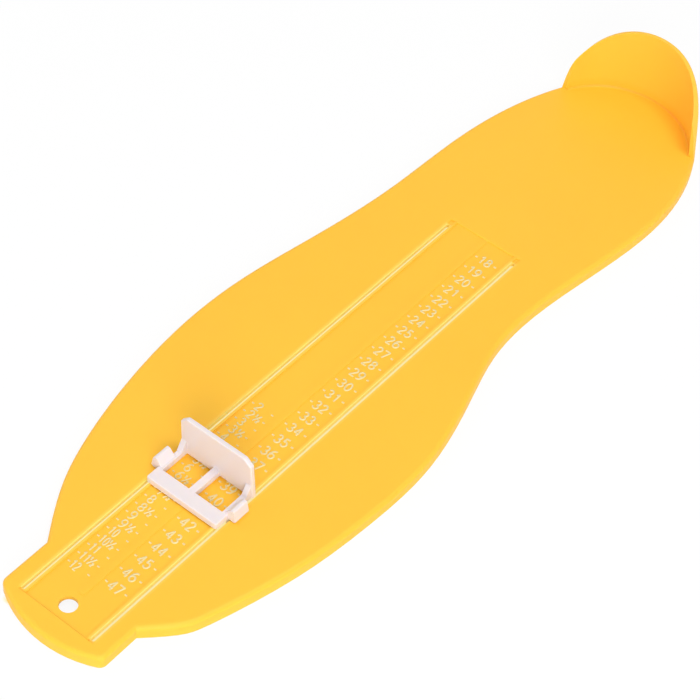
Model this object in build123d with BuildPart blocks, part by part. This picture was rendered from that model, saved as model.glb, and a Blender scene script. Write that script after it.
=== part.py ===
"""Foot measuring device: a foot-shaped board with a heel cup and a toe slider.

The board is one moulding: a shallow hollow tray, a raised heel cup at the back and a sunk scale
strip with two long slots.  The slider is a second moulding that runs in the strip.  Its two
spring legs drop through the slots and catch under the strip.

Frame: X across the board, Y from heel to toes, Z up.  Y = 0 is the foot of the inner heel wall,
so a Y value on the scale is a foot length.  Z = 0 is the surface that the board stands on.
"""
import os
from math import sqrt

from build123d import *

# ---- foot lengths -----------------------------------------------------------------------------
shortest_foot = 105.0               # a continental size 18 fits this foot
shown_foot_length = 252.7           # where the slider stands

# ---- board: heights and walls -----------------------------------------------------------------
tray_height = 5.0                   # resting surface to the top face
roof_wall = 2.0                     # thickness of the top face
skirt_wall = 3.0                    # rim that the tray stands on
top_edge_radius = 1.5
roof_z = tray_height - roof_wall    # underside of the top face

# ---- board: heel ------------------------------------------------------------------------------
heel_x = -2.0                       # the heel sits a little to the arch side of the slots
heel_inner_radius = 31.6
heel_wall = 2.6                     # cup wall at its foot
cup_height = 31.6                   # above the top face
cup_rim_wall = 2.0                  # cup wall at its rim
cup_lean = 3.5                      # how far the outer face leans in by the rim
arch_shape = [(0.905, -0.08), (0.890, 0.032), (0.795, 0.478), (0.585, 0.808)]
arch_reach = 0.40                   # the arch as shares of the heel radius and the cup height
crease_radius = 1.0                 # inside the foot of the cup
rim_radius = 0.7                    # the rim is rounded on its inside
rim_chamfer = 0.5                   # and chamfered on its outside
heel_outer_radius = heel_inner_radius + heel_wall
outer_arc_end = -24.7               # angle where the heel arc meets the outer side
arch_arc_end = -156.0               # angle where it meets the arch side

# ---- board: outline, from the heel arc to the toe tongue --------------------------------------
# each point is a half breadth and a station, which is a share of the length to the toe end
toe_end = 337.0                     # foremost point of the tongue
outer_side = [(41.1, 0.198), (43.0, 0.320), (48.1, 0.444), (53.1, 0.546), (51.5, 0.688), (40.4, 0.824)]
arch_side = [(39.9, 0.124), (34.0, 0.351), (34.7, 0.437), (40.3, 0.499), (48.5, 0.608), (48.1, 0.698),
             (43.5, 0.798), (34.7, 0.891)]
tongue_half = 22.0
tongue_root_outer = 0.9213          # station where the outer side runs into the tongue
tongue_root_arch = 0.9394           # and where the arch side does
toe_arc_radius = 43.0
toe_arc_x = -1.0                    # the toe arc is centred a little to the arch side
tongue_corner_radius = 2.8

# ---- board: scale strip -----------------------------------------------------------------------
strip_half = 15.5                   # the strip ends at the outer edges of its slots
strip_depth = 0.5
strip_heel_end = shortest_foot + 2.0
strip_toe_margin = 7.9              # from the strip to the toe end
strip_toe_end = toe_end - strip_toe_margin
strip_chamfer = 0.25
strip_z = tray_height - strip_depth
slot_width = 1.6
slot_centre = strip_half - slot_width / 2
slot_heel_margin = 2.6              # from the strip's heel end to the slots
slot_toe_margin = 0.7               # from the slots to the strip's toe end
slot_heel_end = strip_heel_end + slot_heel_margin
slot_toe_end = strip_toe_end - slot_toe_margin
runner_width = 1.0                  # runners beside the slots, flush with the top face
runner_centre = strip_half - slot_width - runner_width / 2
divider_width = 2.4                 # flat rib between the two scales
divider_height = 0.2

# ---- board: hang hole and underside -----------------------------------------------------------
hang_hole_margin = 13.5             # from the hole's centre to the toe end
hang_hole_y = toe_end - hang_hole_margin
hang_hole_radius = 3.1
rib_wall = 1.2
rib_lift = 0.8                      # ribs stop short of the resting surface
inner_rail_x = 11.3                 # rails stand clear of the view down through the slots
outer_rail_x = 18.6
cross_rib_pitch = 42.0
cross_rib_first = 34.0
cross_rib_count = 7

# ---- slider -----------------------------------------------------------------------------------
run_gap = 0.2                       # slider over its runners and the top face
frame_half = 15.0
frame_height = 2.4
toe_wall = 1.8                      # thickness of the upright toe plate
window_length = 12.1                # along the scale
window_bar = 2.6                    # bar between the two windows
window_half_span = 12.9             # from the middle to the far side of a window
front_bar = 5.4
frame_corner_radius = 0.8
edge_round = 0.4
toe_plate_height = 18.4             # above the slider's underside
toe_plate_half = 15.4
toe_plate_taper = 0.4               # each side, by the top
toe_plate_lean = 1.3                # towards the toes, by the top
toe_corner = 2.7
toe_corner_radius = 1.2
gusset_reach = 2.8                  # along the frame
gusset_rise = 4.8                   # up the toe plate

lug_length = 6.5                    # finger lugs, along the scale
lug_start = 5.1                     # from the toe plate's toe-side face
lug_out = 18.2                      # widest point
lug_top_out = 17.3
lug_top_in = 16.0
lug_rise = 2.7                      # above the frame
lug_root = 13.7
lug_hover = 0.4                     # over the board's top face
lug_chamfer = 0.6                   # under its outer edge
lug_radius = 0.8                    # along its top
leg_wall = 0.9
leg_clear = 0.3                     # barb under the roof
barb_reach = 0.3                    # beyond the slot's outer edge
barb_height = 1.1
foot_clear = 0.9                    # leg tip over the resting surface

slider_z = tray_height + run_gap
frame_top = slider_z + frame_height
toe_face_y = shown_foot_length      # heel-side face of the toe plate
window_heel = toe_face_y + toe_wall
window_toe = window_heel + window_length
front_end = window_toe + front_bar
lug_y = window_heel + lug_start + lug_length / 2
big = 400.0                         # longer than the part, for through cuts
inset_steps = 10                    # points along each side of the cavity


def inset_points(line, side):
    """Points one skirt wall inside a side of the outline; side is 1 when inside is to the left."""
    points = []
    for step in range(inset_steps + 1):
        along = line % (step / inset_steps)
        points.append(line @ (step / inset_steps) + Vector(-along.Y, along.X) * side * skirt_wall)
    return points


def toe_arc_y(x, radius):
    """Station of an arc of this radius about the middle of the toe arc."""
    return toe_end - toe_arc_radius + sqrt(radius**2 - (x - toe_arc_x) ** 2)


# ---- heel cup: a leaning ring, trimmed to an arch ------------------------------------------------
heel_axis = Axis((heel_x, heel_inner_radius, 0), (0, 0, 1))
heel_plane = Plane((heel_x, heel_inner_radius, tray_height), x_dir=(1, 0, 0), z_dir=(0, -1, 0))
rim_outer = heel_outer_radius - cup_lean
arch = [(across * heel_outer_radius, up * cup_height) for across, up in arch_shape]

with BuildPart() as heel_cup:
    with BuildSketch(heel_plane):
        with BuildLine():
            Polyline(
                (heel_inner_radius - crease_radius, 0),
                (heel_inner_radius - crease_radius, -top_edge_radius),
                (heel_outer_radius, -top_edge_radius),
                (rim_outer, cup_height),
                (rim_outer - cup_rim_wall, cup_height),
                (heel_inner_radius, crease_radius),
            )
            RadiusArc(
                (heel_inner_radius, crease_radius),
                (heel_inner_radius - crease_radius, 0),
                crease_radius,
            )
        make_face()
    revolve(axis=heel_axis, revolution_arc=-180)
    with BuildSketch(heel_plane.offset(arch_reach * heel_outer_radius)):
        with BuildLine():
            Spline(
                *[(-half, rise) for half, rise in arch],
                (0, cup_height),
                *[(half, rise) for half, rise in reversed(arch)],
            )
            foot, drop = arch[0]
            Polyline((foot, drop), (foot, -tray_height), (-foot, -tray_height), (-foot, drop))
        make_face()
    extrude(amount=big, mode=Mode.INTERSECT)
    rim_face = heel_cup.faces().filter_by(GeomType.EXTRUSION).sort_by(SortBy.AREA)[-1]
    chamfer(rim_face.edges().sort_by(SortBy.LENGTH)[-1], rim_chamfer)
    rim_face = heel_cup.faces().filter_by(GeomType.EXTRUSION).sort_by(SortBy.AREA)[-1]
    fillet(rim_face.edges().sort_by(SortBy.LENGTH)[-1], rim_radius)

# ---- board ------------------------------------------------------------------------------------
with BuildPart() as foot_board:
    with BuildSketch() as outline:
        with BuildLine():
            heel_arc = CenterArc(
                (heel_x, heel_inner_radius), heel_outer_radius, arch_arc_end, outer_arc_end - arch_arc_end
            )
            outer_end = (tongue_half, tongue_root_outer * toe_end)
            arch_end = (-tongue_half, tongue_root_arch * toe_end)
            outer_line = Spline(
                heel_arc @ 1,
                *[(half, station * toe_end) for half, station in outer_side],
                outer_end,
                tangents=(heel_arc % 1, (-0.58, 0.81)),
            )
            arch_line = Spline(
                heel_arc @ 0,
                *[(-half, station * toe_end) for half, station in arch_side],
                arch_end,
                tangents=((heel_arc % 0) * -1, (0.71, 0.7)),
            )
            toe_outer = (tongue_half, toe_arc_y(tongue_half, toe_arc_radius))
            toe_arch = (-tongue_half, toe_arc_y(-tongue_half, toe_arc_radius))
            Line(outer_end, toe_outer)
            ThreePointArc(toe_outer, (toe_arc_x, toe_end), toe_arch)
            Line(toe_arch, arch_end)
        make_face()
        fillet(outline.vertices().sort_by(Axis.Y)[-2:], tongue_corner_radius)
    extrude(amount=tray_height)
    fillet(foot_board.edges().group_by(Axis.Z)[-1], top_edge_radius)

    with BuildSketch() as cavity:
        with BuildLine():
            inner_arc = CenterArc(
                (heel_x, heel_inner_radius),
                heel_outer_radius - skirt_wall,
                arch_arc_end,
                outer_arc_end - arch_arc_end,
            )
            inner_outer = Spline(*inset_points(outer_line, 1), tangents=(outer_line % 0, outer_line % 1))
            inner_arch = Spline(*inset_points(arch_line, -1), tangents=(arch_line % 0, arch_line % 1))
            front_radius = toe_arc_radius - skirt_wall
            front_outer = (tongue_half - skirt_wall, toe_arc_y(tongue_half - skirt_wall, front_radius))
            front_arch = (skirt_wall - tongue_half, toe_arc_y(skirt_wall - tongue_half, front_radius))
            Line(inner_outer @ 1, front_outer)
            ThreePointArc(front_outer, (toe_arc_x, toe_end - skirt_wall), front_arch)
            Line(front_arch, inner_arch @ 1)
        make_face()
    extrude(amount=roof_z, mode=Mode.SUBTRACT)

# underside: a pair of rails beside each slot and cross ribs out to the skirt
    with BuildSketch(Plane.XY.offset(rib_lift)) as ribs:
        rib_mid = (strip_heel_end + toe_end) / 2
        rail_length = toe_end - strip_heel_end
        for index in range(cross_rib_count):
            rib_y = cross_rib_first + index * cross_rib_pitch
            with Locations((0, rib_y)):
                Rectangle(big, rib_wall)
        with Locations((0, rib_mid + rib_wall)):
            Rectangle(2 * outer_rail_x, rail_length, mode=Mode.SUBTRACT)
        for rail_x in (inner_rail_x, outer_rail_x):
            with Locations((rail_x, rib_mid), (-rail_x, rib_mid)):
                Rectangle(rib_wall, rail_length)
        add(cavity.sketch, mode=Mode.INTERSECT)
    extrude(amount=roof_z - rib_lift)

# sunk scale strip with its runners and the rib between the scales
    strip_length = strip_toe_end - strip_heel_end
    strip_mid = (strip_heel_end + strip_toe_end) / 2
    with BuildSketch(Plane.XY.offset(tray_height)):
        with Locations((0, strip_mid)):
            Rectangle(2 * strip_half, strip_length)
    extrude(amount=-strip_depth, mode=Mode.SUBTRACT)
    chamfer(foot_board.edges(Select.LAST).group_by(Axis.Z)[-1], strip_chamfer)

    with BuildSketch(Plane.XY.offset(strip_z)):
        with Locations((runner_centre, strip_mid), (-runner_centre, strip_mid)):
            Rectangle(runner_width, strip_length)
    extrude(amount=strip_depth)
    with BuildSketch(Plane.XY.offset(strip_z)):
        divider_end = hang_hole_y - hang_hole_radius - divider_width
        with Locations((0, (strip_heel_end + divider_end) / 2)):
            Rectangle(divider_width, divider_end - strip_heel_end)
    extrude(amount=divider_height)

# slots for the slider's legs, and the hang hole
    with BuildSketch(Plane.XY.offset(tray_height)):
        slot_mid = (slot_heel_end + slot_toe_end) / 2
        with Locations((slot_centre, slot_mid), (-slot_centre, slot_mid)):
            SlotOverall(slot_toe_end - slot_heel_end, slot_width, rotation=90)
    extrude(amount=-tray_height, mode=Mode.SUBTRACT)
    with Locations((0, hang_hole_y, strip_z)):
        Hole(hang_hole_radius, depth=strip_z)

    add(heel_cup.part)

foot_board.part.label = "foot_board"

# ---- slider: upright toe plate ------------------------------------------------------------------
plate_top = slider_z + toe_plate_height
with BuildPart() as toe_plate:
    with BuildSketch(Plane.YZ):
        with BuildLine():
            Polyline(
                (toe_face_y, slider_z),
                (toe_face_y + toe_wall, slider_z),
                (toe_face_y + toe_wall + toe_plate_lean, plate_top),
                (toe_face_y + toe_plate_lean, plate_top),
                close=True,
            )
        make_face()
    extrude(amount=2 * toe_plate_half, both=True)
    with BuildSketch(Plane.XZ):
        with BuildLine():
            top_half = toe_plate_half - toe_plate_taper
            Polyline(
                (toe_plate_half, slider_z),
                (top_half, plate_top - toe_corner),
                (top_half - toe_corner, plate_top),
                (toe_corner - top_half, plate_top),
                (-top_half, plate_top - toe_corner),
                (-toe_plate_half, slider_z),
                close=True,
            )
        plate_face = make_face()
        fillet(plate_face.vertices().group_by(Axis.Y)[-1], toe_corner_radius)
    extrude(amount=-big, mode=Mode.INTERSECT)
    fillet(toe_plate.edges().filter_by_position(Axis.Z, slider_z + edge_round, big), edge_round)

# ---- slider: frame, lugs and spring legs --------------------------------------------------------
with BuildPart() as slider:
    with BuildSketch(Plane.XY.offset(slider_z)) as frame:
        with Locations((0, (toe_face_y + front_end) / 2)):
            Rectangle(2 * frame_half, front_end - toe_face_y)
        window_width = window_half_span - window_bar / 2
        window_x = (window_half_span + window_bar / 2) / 2
        window_y = (window_heel + window_toe) / 2
        with Locations((window_x, window_y), (-window_x, window_y)):
            Rectangle(window_width, window_length, mode=Mode.SUBTRACT)
        fillet(frame.vertices().group_by(Axis.Y)[-1], frame_corner_radius)
    extrude(amount=frame_height)
    fillet(slider.edges().filter_by(Axis.X).group_by(Axis.Y)[-1].sort_by(Axis.Z)[-1], edge_round)

    add(toe_plate.part)

    gusset_wall = frame_half - window_half_span
    for side in (1, -1):
        with BuildSketch(Plane.YZ.offset(side * (frame_half - gusset_wall / 2))):
            with BuildLine():
                Polyline(
                    (window_heel, frame_top),
                    (window_heel + gusset_reach, frame_top),
                    (window_heel, frame_top + gusset_rise),
                    close=True,
                )
            make_face()
        extrude(amount=gusset_wall / 2, both=True)

    lug_under = tray_height + lug_hover
    leg_in = slot_centre - leg_wall / 2
    leg_out = slot_centre + leg_wall / 2
    barb_out = slot_centre + slot_width / 2 + barb_reach
    barb_top = roof_z - leg_clear
    for side in (1, -1):
        with BuildSketch(Plane.XZ.offset(-lug_y)):
            with BuildLine():
                Polyline(
                    (side * window_half_span, slider_z),
                    (side * window_half_span, frame_top),
                    (side * lug_root, frame_top),
                    (side * lug_top_in, frame_top + lug_rise),
                    (side * lug_top_out, frame_top + lug_rise),
                    (side * lug_out, lug_under + lug_chamfer),
                    (side * (lug_out - lug_chamfer), lug_under),
                    (side * leg_out, lug_under),
                    (side * leg_out, barb_top),
                    (side * barb_out, barb_top),
                    (side * leg_out, barb_top - barb_height),
                    (side * leg_out, foot_clear),
                    (side * leg_in, foot_clear),
                    (side * leg_in, slider_z),
                    close=True,
                )
            lug_face = make_face()
            fillet(lug_face.vertices().filter_by_position(Axis.Y, frame_top + lug_radius, big), lug_radius)
        extrude(amount=lug_length / 2, both=True)

slider.part.label = "slider"

os.makedirs("parts", exist_ok=True)
for piece in (foot_board, slider):
    export_step(piece.part, f"parts/{piece.part.label}.step")
    print(piece.part.label, len(piece.part.solids()), "solid", round(piece.part.volume / 1000, 2), "cm3")
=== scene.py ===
# %% [markdown]
# # A foot measuring device
#
# This lesson dresses a foot measuring device: a yellow plastic board that is shaped like a foot,
# with a raised heel cup and a sunk scale strip, and a small white slider that stands across the
# toes. The solid parts are already modelled and load as fixed objects. What is left for Blender is
# what makes plastic look like plastic, the raised numerals of the two shoe scales, the light and
# the camera. Every length is in metres, X runs across the board, Y from the heel to the toes and
# Z up. Y = 0 is the foot of the heel wall, so the Y of the toe plate is the length of the foot.

# %% Load the solid parts
import math

import bmesh
import bpy
from mathutils import Matrix, Vector


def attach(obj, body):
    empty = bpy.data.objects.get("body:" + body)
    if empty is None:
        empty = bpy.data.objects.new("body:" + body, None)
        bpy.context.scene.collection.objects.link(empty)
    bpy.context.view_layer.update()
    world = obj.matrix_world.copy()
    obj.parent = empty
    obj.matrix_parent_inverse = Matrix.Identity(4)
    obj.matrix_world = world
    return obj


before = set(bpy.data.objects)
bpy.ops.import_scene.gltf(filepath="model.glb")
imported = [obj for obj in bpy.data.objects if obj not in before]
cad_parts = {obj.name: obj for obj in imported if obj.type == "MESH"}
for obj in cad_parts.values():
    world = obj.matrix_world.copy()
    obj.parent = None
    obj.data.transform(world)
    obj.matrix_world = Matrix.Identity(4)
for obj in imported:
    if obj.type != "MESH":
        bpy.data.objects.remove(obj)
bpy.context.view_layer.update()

MM = 0.001


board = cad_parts["foot_board"]
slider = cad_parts["slider"]
print("solid parts:", sorted(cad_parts))

# %% [markdown]
# ## Colours as they are seen
#
# A colour that is picked on a screen is stored in sRGB, but a shader counts light, so it wants
# linear values. One short function turns the familiar 0 to 255 numbers into linear ones. Both
# mouldings are dyed all the way through, so each has one main colour. The board's is the yellow of
# an egg yolk and the slider's is the white of milk.


# %% Turn screen colours into shader colours
def screen_colour(red, green, blue):
    """Linear RGBA from the 0 to 255 values that a screen shows."""
    linear = []
    for value in (red, green, blue):
        share = value / 255
        linear.append(share / 12.92 if share <= 0.04045 else ((share + 0.055) / 1.055) ** 2.4)
    return (*linear, 1.0)


YOLK_YELLOW = screen_colour(255, 193, 57)
MILK_WHITE = screen_colour(229, 220, 221)
print("yolk yellow in linear light:", [round(value, 3) for value in YOLK_YELLOW])
print("milk white in linear light:", [round(value, 3) for value in MILK_WHITE])

# %% [markdown]
# ## Moulded plastic from nodes
#
# Injection moulded plastic is never one flat colour. Pigment follows the flow of the melt in
# faint, wide clouds, the polish of the steel mould leaves a grain finer than a tenth of a
# millimetre, and handling makes the shine uneven. Three noise textures make these three things,
# each at its own scale. They could be painted as images, but noise that is read from the object's
# own coordinates has no seams and no limit to its detail. A little subsurface scattering lets
# light into the plastic, which is why thin rims of real mouldings glow.

# %% A material for moulded plastic
CLOUD_SCALE, SHINE_SCALE, GRAIN_SCALE = 14.0, 90.0, 4200.0
SHINE_SPREAD = 0.05
GRAIN_DEPTH = 0.02 * MM
GLOW_REACH = (1.2 * MM, 0.9 * MM, 0.4 * MM)


def moulded_plastic(name, colour, cloud, shine, grain, glow):
    """Plastic whose pigment clouds, shine and grain come from three noise textures."""
    material = bpy.data.materials.new(name)
    material.use_nodes = True
    nodes = material.node_tree.nodes
    links = material.node_tree.links
    shader = nodes["Principled BSDF"]
    shader.inputs["IOR"].default_value = 1.47
    shader.inputs["Specular IOR Level"].default_value = 0.35
    shader.inputs["Subsurface Weight"].default_value = glow
    shader.inputs["Subsurface Scale"].default_value = 1.0
    shader.inputs["Subsurface Radius"].default_value = GLOW_REACH
    place = nodes.new("ShaderNodeTexCoord")

    def noise(scale, detail):
        texture = nodes.new("ShaderNodeTexNoise")
        texture.inputs["Scale"].default_value = scale
        texture.inputs["Detail"].default_value = detail
        links.new(place.outputs["Object"], texture.inputs["Vector"])
        return texture.outputs["Fac"]

    pigment = nodes.new("ShaderNodeValToRGB")
    low, high = pigment.color_ramp.elements
    low.position, high.position = 0.3, 0.7
    low.color = [value * (1 - cloud) for value in colour[:3]] + [1.0]
    high.color = [min(value * (1 + cloud), 1.0) for value in colour[:3]] + [1.0]
    links.new(noise(CLOUD_SCALE, detail=3.0), pigment.inputs["Fac"])
    links.new(pigment.outputs["Color"], shader.inputs["Base Color"])

    polish = nodes.new("ShaderNodeMapRange")
    polish.inputs["To Min"].default_value = shine - SHINE_SPREAD
    polish.inputs["To Max"].default_value = shine + SHINE_SPREAD
    links.new(noise(SHINE_SCALE, detail=4.0), polish.inputs["Value"])
    links.new(polish.outputs["Result"], shader.inputs["Roughness"])

    bump = nodes.new("ShaderNodeBump")
    bump.inputs["Strength"].default_value = grain
    bump.inputs["Distance"].default_value = GRAIN_DEPTH
    links.new(noise(GRAIN_SCALE, detail=2.0), bump.inputs["Height"])
    links.new(bump.outputs["Normal"], shader.inputs["Normal"])
    print(name, "has", len(nodes), "nodes")
    return material


# %% [markdown]
# ## The board and the slider
#
# The two solid parts already have the right shape, so they stay as they are and only get a
# finish. The board is a satin yellow. The slider is a white plastic that lets a little more light
# in, so its thin plate looks milky.

# %% Give both solid parts their plastic
board_plastic = moulded_plastic(
    "yolk_yellow_plastic", YOLK_YELLOW, cloud=0.02, shine=0.5, grain=0.25, glow=0.2
)
slider_plastic = moulded_plastic(
    "milk_white_plastic", MILK_WHITE, cloud=0.008, shine=0.33, grain=0.18, glow=0.25
)
for part, plastic in ((board, board_plastic), (slider, slider_plastic)):
    part.data.materials.clear()
    part.data.materials.append(plastic)
    print(part.name, "is now", plastic.name, "with", len(part.data.polygons), "faces")

# %% [markdown]
# ## Sums from nodes
#
# Three marks on the board lie at known places: painted light on the walls of the slots, painted
# light on the wall of the heel cup and painted shade in the crease at its foot. All can be worked
# out from the board's own coordinates with a few math nodes, which is exact at any distance. They
# could be painted on, but paint needs an image. The helpers below make a node or two each and hand
# on the output, so that sums can be written one inside the other.


# %% Small helpers for math nodes
def wire(tree, value, socket):
    """Links the output of another node to a socket, or sets it to a plain number or colour."""
    if isinstance(value, bpy.types.NodeSocket):
        tree.links.new(value, socket)
    else:
        socket.default_value = value


def sum_of(tree, operation, first, second=0.0):
    """One math node; each input is a number or the output of another node."""
    node = tree.nodes.new("ShaderNodeMath")
    node.operation = operation
    wire(tree, first, node.inputs[0])
    wire(tree, second, node.inputs[1])
    return node.outputs["Value"]


def away_from(tree, value, middle):
    """The distance of a value from a middle."""
    return sum_of(tree, "ABSOLUTE", sum_of(tree, "SUBTRACT", value, middle))


def fade(tree, value, start, end):
    """0 at the start and 1 at the end, and straight in between."""
    span = tree.nodes.new("ShaderNodeMapRange")
    span.inputs["From Min"].default_value = start
    span.inputs["From Max"].default_value = end
    wire(tree, value, span.inputs["Value"])
    return span.outputs["Result"]


def own_axes(tree):
    """The object's own X, Y and Z."""
    place = tree.nodes.new("ShaderNodeTexCoord")
    axes = tree.nodes.new("ShaderNodeSeparateXYZ")
    wire(tree, place.outputs["Object"], axes.inputs["Vector"])
    return axes.outputs


def blend_colours(tree, share, first, second):
    """The first colour where the share is 0 and the second where it is 1."""
    mix = tree.nodes.new("ShaderNodeMix")
    mix.data_type = "RGBA"
    sockets = {socket.identifier: socket for socket in [*mix.inputs, *mix.outputs]}
    wire(tree, share, sockets["Factor_Float"])
    wire(tree, first, sockets["A_Color"])
    wire(tree, second, sockets["B_Color"])
    return sockets["Result_Color"]


board_tree = board_plastic.node_tree
board_colour = board_tree.nodes["Principled BSDF"].inputs["Base Color"]
print("the board's colour comes from:", board_colour.links[0].from_node.name)

# %% [markdown]
# ## Where the slots are
#
# The slider's two legs run in two long slots. Both slots lie at the same distance from the middle
# of the board, so one sum serves both: how far a place is from the middle line of a slot, with a
# short fade at its ends. The sum is kept as a helper, because the board and the table both need it.

# %% Find the slots from an object's own coordinates
SLOT_MIDDLE_X = 14.7 * MM
SLOT_MIDDLE_Y = 219.0 * MM
SLOT_HALF_LENGTH = 109.4 * MM
END_FADE = 0.5 * MM


def slot_share(tree, full, none, beyond=0.0):
    """1 up to one distance from the middle line of a slot, and 0 from another distance on."""
    axes = own_axes(tree)
    across = away_from(tree, sum_of(tree, "ABSOLUTE", axes["X"]), SLOT_MIDDLE_X)
    along = away_from(tree, axes["Y"], SLOT_MIDDLE_Y)
    beside = fade(tree, across, none, full)
    end = SLOT_HALF_LENGTH + beyond
    before_end = fade(tree, along, end + END_FADE, end - END_FADE)
    return sum_of(tree, "MULTIPLY", beside, before_end)


print("each slot is", round(2 * SLOT_HALF_LENGTH / MM, 1), "mm long")

# %% [markdown]
# ## Painted light in the slots
#
# The walls of both slots are deep and narrow and get little light, so they are painted pale yellow,
# which is painted light. Their lips get a little of it as a painted highlight. It could be a second
# material on the walls, but the lips fade into the plain plastic, so one material with a share of
# painted light is simpler. The walls get all of it, and the lips a little.

# %% Paint light into the slots
SLOT_LIGHT_YELLOW = screen_colour(255, 236, 140)
WALL_REACH = (0.84 * MM, 0.9 * MM)
LIP_REACH = (0.9 * MM, 2.0 * MM)
LIP_LIGHT = 0.25

# painted light: the slot walls are painted pale yellow, and their lips a little
lips = sum_of(board_tree, "MULTIPLY", slot_share(board_tree, *LIP_REACH), LIP_LIGHT)
slot_light_share = sum_of(board_tree, "MAXIMUM", slot_share(board_tree, *WALL_REACH), lips)
dyed = board_colour.links[0].from_socket
painted_lighter = blend_colours(board_tree, slot_light_share, dyed, SLOT_LIGHT_YELLOW)
wire(board_tree, painted_lighter, board_colour)
print("the lips are worn", round(LIP_REACH[1] / MM, 1), "mm from the middle of each slot")

# %% [markdown]
# ## Painted light on the cup and painted shade in its crease
#
# The wall of the heel cup is painted lighter with height, which is painted light. The crease where
# it meets the top face is painted a deeper yellow, which is painted shade over the bright line that
# the lamps leave on the rounded crease. The crease is a circle round the heel, so a place belongs
# to it by its distance from that circle. The flat top face is left out by its height.

# %% Paint light on the cup and shade in its crease
CUP_LIGHT_YELLOW = screen_colour(255, 199, 68)
CREASE_SHADE_YELLOW = screen_colour(250, 172, 42)
HEEL_X, HEEL_Y = -2.0 * MM, 31.6 * MM
CREASE_RADIUS = 31.6 * MM
CREASE_REACH = (1.05 * MM, 0.4 * MM)
TOP_FACE = 5.0 * MM
CREASE_STARTS = (0.03 * MM, 0.2 * MM)
CUP_LIGHT_RISE = (0.3 * MM, 5.0 * MM)


def length_of(tree, first, second):
    """The length of a vector from its two parts."""
    squares = [sum_of(tree, "MULTIPLY", part, part) for part in (first, second)]
    return sum_of(tree, "SQRT", sum_of(tree, "ADD", *squares))


axes = own_axes(board_tree)
from_heel_x = away_from(board_tree, axes["X"], HEEL_X)
from_heel_y = away_from(board_tree, axes["Y"], HEEL_Y)
from_heel = length_of(board_tree, from_heel_x, from_heel_y)
above_top = sum_of(board_tree, "SUBTRACT", axes["Z"], TOP_FACE)
beside_crease = away_from(board_tree, from_heel, CREASE_RADIUS)
from_crease = length_of(board_tree, beside_crease, above_top)

# painted shade: the crease at the foot of the cup is painted a deeper yellow
crease_shade = sum_of(
    board_tree,
    "MULTIPLY",
    fade(board_tree, from_crease, *CREASE_REACH),
    fade(board_tree, above_top, *CREASE_STARTS),
)
# painted light: the wall of the cup is painted lighter towards its rim
cup_light = fade(board_tree, above_top, *CUP_LIGHT_RISE)
cup_painted_light = blend_colours(board_tree, cup_light, painted_lighter, CUP_LIGHT_YELLOW)
wire(board_tree, blend_colours(board_tree, crease_shade, cup_painted_light, CREASE_SHADE_YELLOW), board_colour)
print("crease radius:", round(CREASE_RADIUS / MM, 1), "mm")

# %% [markdown]
# ## Raised numerals
#
# The numerals stand proud of the strip. A mould maker engraves them with a round cutter that runs
# along the middle of each stroke, so every stroke has the same width, round corners and a round
# back. A font would give flat outlines, so each digit is written here as the path of that cutter:
# straight runs and bends in a box that is one unit wide and one unit high. A bend is a piece of
# an ellipse, worked out from its middle, its two radii and the angles where it starts and ends.
# A nine is a six that is turned round.


# %% The cutter's path for each digit
def bend(middle_x, middle_y, radius_x, radius_y, start, end, steps=10):
    """Points along a piece of an ellipse; the angles are in degrees."""
    points = []
    for step in range(steps + 1):
        angle = math.radians(start + (end - start) * step / steps)
        x = middle_x + radius_x * math.cos(angle)
        y = middle_y + radius_y * math.sin(angle)
        points.append((x, y))
    return points


six = [
    bend(0.5, 0.3, 0.5, 0.3, 180, -180, 18),
    bend(0.78, 0.3, 0.78, 0.7, 180, 78),
]
DIGITS = {
    "0": [bend(0.5, 0.5, 0.5, 0.5, 90, 450, 20)],
    "1": [[(0.2, 0.78), (0.62, 1.0)], [(0.62, 1.0), (0.62, 0.0)]],
    "2": [bend(0.48, 0.73, 0.47, 0.27, 165, -35) + [(0.02, 0.0)], [(0.02, 0.0), (1.0, 0.0)]],
    "3": [
        bend(0.47, 0.75, 0.42, 0.25, 155, -90),
        bend(0.47, 0.25, 0.5, 0.25, 90, -155),
    ],
    "4": [[(0.74, 0.0), (0.74, 1.0)], [(0.74, 1.0), (0.0, 0.28)], [(0.0, 0.28), (1.0, 0.28)]],
    "5": [
        [(0.9, 1.0), (0.2, 1.0)],
        [(0.2, 1.0), (0.1, 0.52)],
        bend(0.46, 0.32, 0.5, 0.32, 135, -150),
    ],
    "6": six,
    "7": [[(0.0, 1.0), (1.0, 1.0)], [(1.0, 1.0), (0.36, 0.0)]],
    "8": [
        bend(0.5, 0.76, 0.42, 0.24, -90, 270, 18),
        bend(0.5, 0.26, 0.5, 0.26, 90, 450, 18),
    ],
    "9": [[(1 - x, 1 - y) for x, y in stroke] for stroke in six],
}
print("digits with a cutter path:", "".join(sorted(DIGITS)))

# %% [markdown]
# ## From paths to raised strokes
#
# A curve with a bevel turns a path into a round bar. The bars lie half in the strip, so a half
# round ridge is left. The numbers read from the arch side of the board with their tops to the
# heel, so reading goes towards -X and up goes towards -Y.

# %% Helpers that write with the cutter
STRIP_TOP = 4.5 * MM


def new_scale(name, stroke_width):
    """An empty curve whose every path becomes a round bar."""
    curve = bpy.data.curves.new(name, "CURVE")
    curve.dimensions = "3D"
    curve.bevel_depth = stroke_width / 2
    curve.bevel_resolution = 2
    curve.use_fill_caps = True
    print(name, "is cut with a round cutter of", round(stroke_width / MM, 2), "mm")
    return curve


def cut(scale, points):
    """Adds one stroke, given as points on the strip."""
    spline = scale.splines.new("POLY")
    spline.points.add(len(points) - 1)
    for point, (x, y) in zip(spline.points, points):
        point.co = (x, y, STRIP_TOP, 1)


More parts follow.
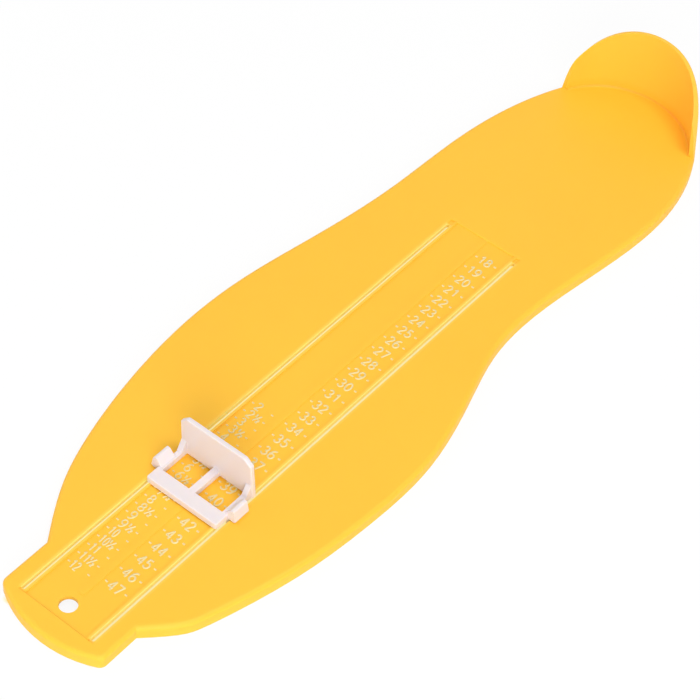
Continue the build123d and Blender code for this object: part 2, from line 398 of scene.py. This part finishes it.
def cut_shape(scale, strokes, x, y, width, height):
    """Cuts strokes of a unit box into a box whose middle is at x, y."""
    left, bottom = x + width / 2, y + height / 2
    for stroke in strokes:
        cut(scale, [(left - across * width, bottom - up * height) for across, up in stroke])


def cut_number(scale, number, x, y, width, height, advance):
    """Cuts a number digit by digit, with its middle at x, y."""
    first_x = x + advance * (len(number) - 1) / 2
    for place, digit in enumerate(number):
        cut_shape(scale, DIGITS[digit], first_x - advance * place, y, width, height)


# %% [markdown]
# ## Small signs beside the numbers
#
# A half size has a small one, a slanted line and a small two. The sign could have paths of its
# own, but the digits' paths are there already and keep the same hand. Each row also has two short
# lines that mark its exact length.

# %% Helpers for the sign of one half and for the marks
TICK_REACH = 0.45 * MM
SLANTED_LINE = [[(0.12, 0.0), (0.88, 1.0)]]
SMALL_HEIGHT, SMALL_RISE = 0.42, 0.28
ONE_ASIDE, ONE_WIDTH = 0.4, 0.3
TWO_ASIDE, TWO_WIDTH = 0.38, 0.38


def cut_half(scale, x, y, width, height):
    """Cuts the sign for one half: a one, up and to the left of a slanted line, and a two."""
    small, rise = height * SMALL_HEIGHT, height * SMALL_RISE
    cut_shape(scale, SLANTED_LINE, x, y, width, height)
    cut_shape(scale, DIGITS["1"], x + width * ONE_ASIDE, y - rise, width * ONE_WIDTH, small)
    cut_shape(scale, DIGITS["2"], x - width * TWO_ASIDE, y + rise, width * TWO_WIDTH, small)


def cut_marks(scale, places, y):
    """Cuts one short line across the strip at each place."""
    for x in places:
        cut(scale, [(x + TICK_REACH, y), (x - TICK_REACH, y)])


print("each mark is", round(2 * TICK_REACH / MM, 1), "mm long")

# %% [markdown]
# ## A finished scale
#
# The numerals are pale cream on the yellow board and move with it. A scale could stay a curve, but
# a mesh is what other programs read, so a finished scale turns into one.

# %% Turn a scale into a mesh that rides on the board
CREAM = screen_colour(232, 212, 154)
numeral_cream = moulded_plastic(
    "numeral_cream", CREAM, cloud=0.02, shine=0.42, grain=0.2, glow=0.1
)


def finish_scale(curve):
    """Turns a scale into a mesh object that rides on the board."""
    drawing = bpy.data.objects.new("drawing", curve)
    bpy.context.scene.collection.objects.link(drawing)
    bpy.context.view_layer.update()
    final = drawing.evaluated_get(bpy.context.evaluated_depsgraph_get())
    mesh = bpy.data.meshes.new_from_object(final)
    bpy.data.objects.remove(drawing)
    mesh.materials.clear()
    mesh.materials.append(numeral_cream)
    for face in mesh.polygons:
        face.use_smooth = True
    piece = bpy.data.objects.new(curve.name, mesh)
    bpy.context.scene.collection.objects.link(piece)
    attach(piece, "board")
    print(piece.name, "has", len(mesh.vertices), "vertices")


# %% [markdown]
# ## The continental scale
#
# One continental size is a Paris point, two thirds of a centimetre. So every place follows from
# the first one, and no list of places is needed, only a loop. Each number stands between two short
# lines that mark the exact length.

# %% Cut the continental scale
PARIS_POINT = 20 / 3 * MM
EU_FIRST_SIZE, EU_LAST_SIZE = 18, 47
EU_FIRST_Y = 115.9 * MM
EU_X = -6.5 * MM
EU_DIGIT_WIDTH, EU_DIGIT_HEIGHT = 1.9 * MM, 3.7 * MM
EU_ADVANCE = 2.8 * MM
EU_MARKS = (-2.65 * MM, -10.9 * MM)

eu_scale = new_scale("eu_numerals", 0.68 * MM)
for size in range(EU_FIRST_SIZE, EU_LAST_SIZE + 1):
    y = EU_FIRST_Y + (size - EU_FIRST_SIZE) * PARIS_POINT
    cut_number(eu_scale, str(size), EU_X, y, EU_DIGIT_WIDTH, EU_DIGIT_HEIGHT, EU_ADVANCE)
    cut_marks(eu_scale, EU_MARKS, y)
finish_scale(eu_scale)

# %% [markdown]
# ## The British scale
#
# A British size is a barleycorn, a third of an inch, and half sizes lie between. On this board they
# stand 4.41 mm apart, a little more than half a barleycorn. The lines are closer together than on
# the continental scale, so the numbers are smaller, and those with two digits are drawn narrow to
# keep clear of their lines.

# %% Cut the British scale
HALF_SIZE = 4.414 * MM
UK_FIRST_SIZE, UK_LAST_SIZE = 2, 12
UK_FIRST_Y = 223.0 * MM
UK_X, UK_HALF_X = 8.9 * MM, 6.0 * MM
UK_DIGIT_WIDTH, UK_NARROW_WIDTH, UK_DIGIT_HEIGHT = 1.8 * MM, 1.15 * MM, 3.3 * MM
UK_HALF_WIDTH, UK_HALF_HEIGHT = 2.1 * MM, 3.2 * MM
UK_ADVANCE = 1.8 * MM
UK_MARKS = (11.5 * MM, 3.1 * MM)

uk_scale = new_scale("uk_numerals", 0.58 * MM)
for half in range(2 * (UK_LAST_SIZE - UK_FIRST_SIZE) + 1):
    y = UK_FIRST_Y + half * HALF_SIZE
    number = str(UK_FIRST_SIZE + half // 2)
    width = UK_DIGIT_WIDTH if len(number) == 1 else UK_NARROW_WIDTH
    cut_number(uk_scale, number, UK_X, y, width, UK_DIGIT_HEIGHT, UK_ADVANCE)
    if half % 2:
        cut_half(uk_scale, UK_HALF_X, y, UK_HALF_WIDTH, UK_HALF_HEIGHT)
    cut_marks(uk_scale, UK_MARKS, y)
finish_scale(uk_scale)

# %% [markdown]
# ## White without more light
#
# The device lies on a white table in a white room. If light alone made them white, it would also
# wash out the board. So only what the camera and mirror-like reflections see is made white, with
# the Light Path node, and the light that reaches the object stays at its own level.


# %% Tell seen rays from bounced light
def seen_directly(tree):
    """1 for camera, glossy and transmission rays, 0 for the light that the scene bounces."""
    rays = tree.nodes.new("ShaderNodeLightPath").outputs
    mirrored = sum_of(tree, "MAXIMUM", rays["Is Camera Ray"], rays["Is Glossy Ray"])
    return sum_of(tree, "MAXIMUM", mirrored, rays["Is Transmission Ray"])


def mix_shaders(tree, share, first, second):
    """The first shader where the share is 0 and the second where it is 1."""
    mix = tree.nodes.new("ShaderNodeMixShader")
    for value, socket in zip((share, first, second), mix.inputs):
        wire(tree, value, socket)
    return mix.outputs["Shader"]


table_paper = bpy.data.materials.new("table_paper")
table_paper.use_nodes = True
paper = table_paper.node_tree
paper.nodes.clear()
seen = seen_directly(paper)
print("rays that count as seen are found by", len(paper.nodes), "nodes")

# %% [markdown]
# ## Paper for the table
#
# The paper is mostly white where it is seen, and a small share of it takes the object's shadow.
# Under the slots the paper is painted with a pale yellow glow. This is painted light that stands
# for light strained through the thin yellow plastic: it is seen through the slots, and it lights
# their walls as a lamp would. From below it is clear, so that the underside of the board can be
# looked at.

# %% Make the paper white, glowing pale yellow under the slots and clear from below
SHADOW_SHARE = 0.1
PAPER_WHITE = (1, 1, 1, 1)
MATT_WHITE = (0.95, 0.95, 0.95, 1)
PAINTED_GLOW_YELLOW = screen_colour(255, 240, 175)
GLOW_UNDER_SLOTS_SHARE = 0.7
TINT_REACH = (3 * MM, 5 * MM)
TINT_BEYOND = 5 * MM

# painted light: under the slots the paper glows pale yellow and lights their walls
under_slots = slot_share(paper, *TINT_REACH, beyond=TINT_BEYOND)
seen_share = sum_of(paper, "MULTIPLY", seen, 1 - SHADOW_SHARE)
glow_under_slots = sum_of(paper, "MULTIPLY", under_slots, GLOW_UNDER_SLOTS_SHARE)

matt = paper.nodes.new("ShaderNodeBsdfDiffuse")
wire(paper, MATT_WHITE, matt.inputs["Color"])
bright = paper.nodes.new("ShaderNodeEmission")
wire(paper, blend_colours(paper, under_slots, PAPER_WHITE, PAINTED_GLOW_YELLOW), bright.inputs["Color"])
clear = paper.nodes.new("ShaderNodeBsdfTransparent")
beneath = paper.nodes.new("ShaderNodeNewGeometry")

bright_share = sum_of(paper, "MAXIMUM", seen_share, glow_under_slots)
face = mix_shaders(paper, bright_share, matt.outputs["BSDF"], bright.outputs["Emission"])
one_sided = mix_shaders(paper, beneath.outputs["Backfacing"], face, clear.outputs["BSDF"])
output = paper.nodes.new("ShaderNodeOutputMaterial")
wire(paper, one_sided, output.inputs["Surface"])
print("table paper has", len(paper.nodes), "nodes")

# %% [markdown]
# ## The table
#
# A real table has edges, but here they would only draw the eye. One large flat face is enough, a
# hair below the board so that the two don't share a plane.

# %% Lay the table
TABLE_REACH = 6.0
TABLE_DROP = 0.05 * MM

table_mesh = bpy.data.meshes.new("table")
grid = bmesh.new()
bmesh.ops.create_grid(grid, x_segments=1, y_segments=1, size=TABLE_REACH)
grid.to_mesh(table_mesh)
grid.free()
table_mesh.materials.append(table_paper)
table = bpy.data.objects.new("table", table_mesh)
bpy.context.scene.collection.objects.link(table)
table.location.z = -TABLE_DROP
print("the table lies", round(TABLE_DROP / MM, 2), "mm below the board")

# %% [markdown]
# ## A white room
#
# Pale walls light an object softly from all sides. A world with one plain colour does the same
# without any walls. It has its own level as a light, and looks white where it is seen.

# %% Set the light of the room
ROOM_LIGHT = 0.48
SEEN_LIGHT = 1.0

room = bpy.data.worlds.new("room")
bpy.context.scene.world = room
room.use_nodes = True
room_tree = room.node_tree
background = room_tree.nodes["Background"]
background.inputs["Color"].default_value = (1, 1, 1, 1)
level = room_tree.nodes.new("ShaderNodeMapRange")
level.inputs["To Min"].default_value = ROOM_LIGHT
level.inputs["To Max"].default_value = SEEN_LIGHT
wire(room_tree, seen_directly(room_tree), level.inputs["Value"])
wire(room_tree, level.outputs["Result"], background.inputs["Strength"])
print("room light:", ROOM_LIGHT)

# %% [markdown]
# ## Three soft lamps
#
# Light that is the same from all sides hides a shape, so lamps give it direction. One high above
# the arch side lights the flat top. A wide one low beyond the toes lights the inside of the heel
# cup and every wall that faces the toes, and lets the slider cast a soft shadow. A weak one on the
# outer side fills what they leave dark. They could be suns, but a wide lamp has softer shadow
# edges. Its watts grow with the square of its distance.

# %% Aim wide lamps at the board
BOARD_MIDDLE = Vector((0, 0.12, 0))


def wide_lamp(name, place, size, watts):
    """A square lamp that points at the middle of the board."""
    light = bpy.data.lights.new(name, "AREA")
    light.size = size
    light.energy = watts
    lamp = bpy.data.objects.new(name, light)
    lamp.location = place
    lamp.rotation_euler = (BOARD_MIDDLE - Vector(place)).to_track_quat("-Z", "Y").to_euler()
    bpy.context.scene.collection.objects.link(lamp)
    print(name, "gives", watts, "watts from", size, "m across")


wide_lamp("overhead_lamp", (-0.5, 0.2, 1.7), size=0.5, watts=10.3)
wide_lamp("toe_side_lamp", (-0.95, 1.3, 0.65), size=1.0, watts=15.5)
wide_lamp("outer_side_lamp", (1.3, 0.3, 0.9), size=1.0, watts=4.0)

# %% [markdown]
# ## The camera
#
# A long lens from above the toe end keeps the board's shape true and lets it fill the picture from
# corner to corner. The camera looks along one direction, and a small roll tilts the picture.

# %% Place the camera
LENS, SENSOR_WIDTH = 110.3, 36.0
CAMERA_PLACE = (-0.28515, 0.5916, 0.5502)
VIEW_DIRECTION = Vector((0.3886, -0.5529, -0.7371))
ROLL = math.radians(5.35)

camera_data = bpy.data.cameras.new("camera")
camera_data.lens = LENS
camera_data.sensor_width = SENSOR_WIDTH
camera = bpy.data.objects.new("camera", camera_data)
bpy.context.scene.collection.objects.link(camera)
aim = VIEW_DIRECTION.to_track_quat("-Z", "Y").to_matrix().to_4x4()
turn = aim @ Matrix.Rotation(ROLL, 4, "Z")
camera.matrix_world = Matrix.Translation(CAMERA_PLACE) @ turn
bpy.context.scene.camera = camera
print("camera looks along", [round(value, 3) for value in VIEW_DIRECTION])

# %% [markdown]
# ## Finish
#
# Colours leave the renderer as they are, with the Standard view.

# %% Set the view
bpy.context.scene.view_settings.view_transform = "Standard"
